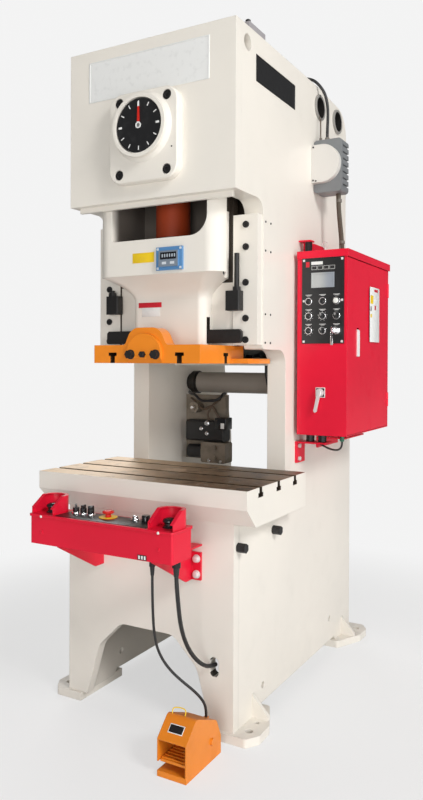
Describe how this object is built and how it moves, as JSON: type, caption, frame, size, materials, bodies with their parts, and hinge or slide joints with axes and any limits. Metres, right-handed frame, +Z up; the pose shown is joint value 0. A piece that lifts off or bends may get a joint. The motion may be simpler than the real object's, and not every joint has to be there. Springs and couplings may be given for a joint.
{
  "type": "mechanical stamping press",
  "caption": "Gap-frame single-crank stamping press with T-slotted bolster, guided ram, control cabinet, two-hand button box and foot pedal.",
  "frame": {"origin": "on the floor, midway between the four floor anchors", "axes": "+X to the operator's right, +Y to the back of the press, +Z up"},
  "size_m": [1.007, 1.498, 2.452],
  "materials": {
    "cream_paint": "semi-gloss",
    "red_paint": "gloss",
    "orange_paint": "semi-gloss",
    "rod_paint": "satin",
    "grey_paint": "satin",
    "blue_paint": "satin",
    "oiled_steel": "oiled, milled",
    "bright_steel": "machined",
    "black_steel": "blackened",
    "cast_iron": "machined",
    "bronze": "machined",
    "black_plastic": "matte",
    "red_plastic": "gloss",
    "blue_plastic": "clear cover",
    "green_plastic": "gloss",
    "white_plastic": "gloss",
    "cable_rubber": "matte"
  },
  "bodies": {
    "frame": {"side_plate_left": "cream_paint", "side_plate_right": "cream_paint", "head_plates": "cream_paint", "base_plates": "cream_paint", "bolster": "oiled_steel", "feet": "cream_paint", "guide_rails": "cream_paint", "frame_bolts": "black_steel", "crank_housing": "cream_paint", "dial_face": "black_plastic", "crank_bushes": "bronze", "brake_housing": "cast_iron", "motor_body": "grey_paint", "v_belts": "cable_rubber", "balance_cylinders": "grey_paint", "knockout_stops": "black_steel", "cabinet_shell": "red_paint", "cabinet_supports": "red_paint", "control_panel": "black_plastic", "cam_switch": "grey_paint", "hoses": "cable_rubber", "air_tank": "grey_paint", "valve_block": "black_plastic", "button_box": "red_paint", "button_guards": "red_paint", "box_brackets": "red_paint", "rear_cover": "cream_paint", "pedal_housing": "orange_paint", "pedal_cable": "cable_rubber", "box_cable": "cable_rubber"},
    "crank": {"crankshaft": "bright_steel", "main_gear": "bright_steel", "dial_pointer": "red_plastic"},
    "rod": {"connecting_rod": "rod_paint", "rod_cap": "rod_paint", "ball_screw": "bright_steel"},
    "ram": {"ram_body": "cream_paint", "ram_plate": "orange_paint", "clamp_cap": "orange_paint", "clamp_bolts": "black_steel", "stroke_counter": "blue_plastic"},
    "knockout_bar": {"knockout_bar": "black_steel"},
    "pinion": {"pinion_shaft": "bright_steel"},
    "flywheel": {"flywheel": "cast_iron"},
    "motor_rotor": {"motor_pulley": "cast_iron"},
    "cabinet_door": {"cabinet_door": "red_paint"},
    "door_handle": {"door_handle": "white_plastic"},
    "lock_lever": {"lock_lever": "bright_steel"},
    "palm_button_left": {"palm_button_left": "black_plastic"},
    "palm_button_right": {"palm_button_right": "black_plastic"},
    "estop_button": {"estop_button": "red_plastic"},
    "treadle": {"treadle": "orange_paint"},
    "panel_button_1": {"panel_button_1": "black_plastic"},
    "panel_button_2": {"panel_button_2": "black_plastic"},
    "panel_button_3": {"panel_button_3": "black_plastic"},
    "panel_button_4": {"panel_button_4": "black_plastic"},
    "panel_selector_1": {"panel_selector_1": "black_plastic"},
    "panel_selector_2": {"panel_selector_2": "black_plastic"},
    "panel_selector_3": {"panel_selector_3": "black_plastic"},
    "key_switch": {"key_switch": "bright_steel"}
  },
  "joints": [
    {"name": "crank_turn", "type": "hinge", "parent": "frame", "child": "crank", "pos_m": [0, -0.433, 2.083], "axis": [0, 1, 0], "range_deg": [0, 180]},
    {"name": "ram_stroke", "type": "slide", "parent": "frame", "child": "ram", "axis": [0, 0, -1], "range_m": [0, 0.12]},
    {"name": "rod_swing", "type": "hinge", "parent": "crank", "child": "rod", "pos_m": [0, -0.433, 2.143], "axis": [0, 1, 0], "range_deg": [-180.5, 0.5]},
    {"name": "pinion_turn", "type": "hinge", "parent": "frame", "child": "pinion", "pos_m": [0, -0.2, 1.803], "axis": [0, 1, 0], "range_deg": [-871, 1]},
    {"name": "flywheel_spin", "type": "hinge", "parent": "frame", "child": "flywheel", "pos_m": [0, 0.13, 1.803], "axis": [0, 1, 0], "continuous": true},
    {"name": "motor_spin", "type": "hinge", "parent": "frame", "child": "motor_rotor", "pos_m": [0, 0.13, 1.402], "axis": [0, 1, 0], "continuous": true},
    {"name": "knockout_lift", "type": "slide", "parent": "ram", "child": "knockout_bar", "axis": [0, 0, 1], "range_m": [0, 0.045]},
    {"name": "cabinet_door_swing", "type": "hinge", "parent": "frame", "child": "cabinet_door", "pos_m": [0.5665, 0.41, 1.32], "axis": [0, 0, 1], "range_deg": [0, 110]},
    {"name": "door_handle_pull", "type": "hinge", "parent": "cabinet_door", "child": "door_handle", "pos_m": [0.5625, 0.012, 1.3855], "axis": [0, -1, 0], "range_deg": [0, 40]},
    {"name": "lock_lever_turn", "type": "hinge", "parent": "frame", "child": "lock_lever", "pos_m": [0.462, -0.118, 1.15], "axis": [0, 1, 0], "range_deg": [0, 90]},
    {"name": "palm_button_left_push", "type": "slide", "parent": "frame", "child": "palm_button_left", "axis": [0, 0, -1], "range_m": [0, 0.006], "stiffness_N_per_m": 1500},
    {"name": "palm_button_right_push", "type": "slide", "parent": "frame", "child": "palm_button_right", "axis": [0, 0, -1], "range_m": [0, 0.006], "stiffness_N_per_m": 1500},
    {"name": "estop_push", "type": "slide", "parent": "frame", "child": "estop_button", "axis": [0, 0, -1], "range_m": [0, 0.006], "stiffness_N_per_m": 1500},
    {"name": "treadle_press", "type": "hinge", "parent": "frame", "child": "treadle", "pos_m": [0.289, -0.73, 0.062], "axis": [1, 0, 0], "range_deg": [0, 9], "stiffness_Nm_per_rad": 40},
    {"name": "key_switch_turn", "type": "hinge", "parent": "frame", "child": "key_switch", "pos_m": [0.526, -0.118, 1.385], "axis": [0, 1, 0], "range_deg": [0, 90]},
    {"name": "panel_button_1_push", "type": "slide", "parent": "frame", "child": "panel_button_1", "axis": [0, 1, 0], "range_m": [0, 0.004], "stiffness_N_per_m": 400},
    {"name": "panel_button_2_push", "type": "slide", "parent": "frame", "child": "panel_button_2", "axis": [0, 1, 0], "range_m": [0, 0.004], "stiffness_N_per_m": 400},
    {"name": "panel_button_3_push", "type": "slide", "parent": "frame", "child": "panel_button_3", "axis": [0, 1, 0], "range_m": [0, 0.004], "stiffness_N_per_m": 400},
    {"name": "panel_button_4_push", "type": "slide", "parent": "frame", "child": "panel_button_4", "axis": [0, 1, 0], "range_m": [0, 0.004], "stiffness_N_per_m": 400},
    {"name": "panel_selector_1_turn", "type": "hinge", "parent": "frame", "child": "panel_selector_1", "pos_m": [0.47, -0.118, 1.441], "axis": [0, 1, 0], "range_deg": [-45, 45]},
    {"name": "panel_selector_2_turn", "type": "hinge", "parent": "frame", "child": "panel_selector_2", "pos_m": [0.526, -0.118, 1.441], "axis": [0, 1, 0], "range_deg": [-45, 45]},
    {"name": "panel_selector_3_turn", "type": "hinge", "parent": "frame", "child": "panel_selector_3", "pos_m": [0.47, -0.118, 1.385], "axis": [0, 1, 0], "range_deg": [-45, 45]}
  ],
  "couplings": [
    {"joint": "ram_stroke", "follows": "crank_turn", "m_per_rad": 0.038197},
    {"joint": "rod_swing", "follows": "crank_turn", "ratio": -1},
    {"joint": "pinion_turn", "follows": "crank_turn", "ratio": -4.8333},
    {"joint": "motor_spin", "follows": "flywheel_spin", "ratio": 3.8973}
  ]
}
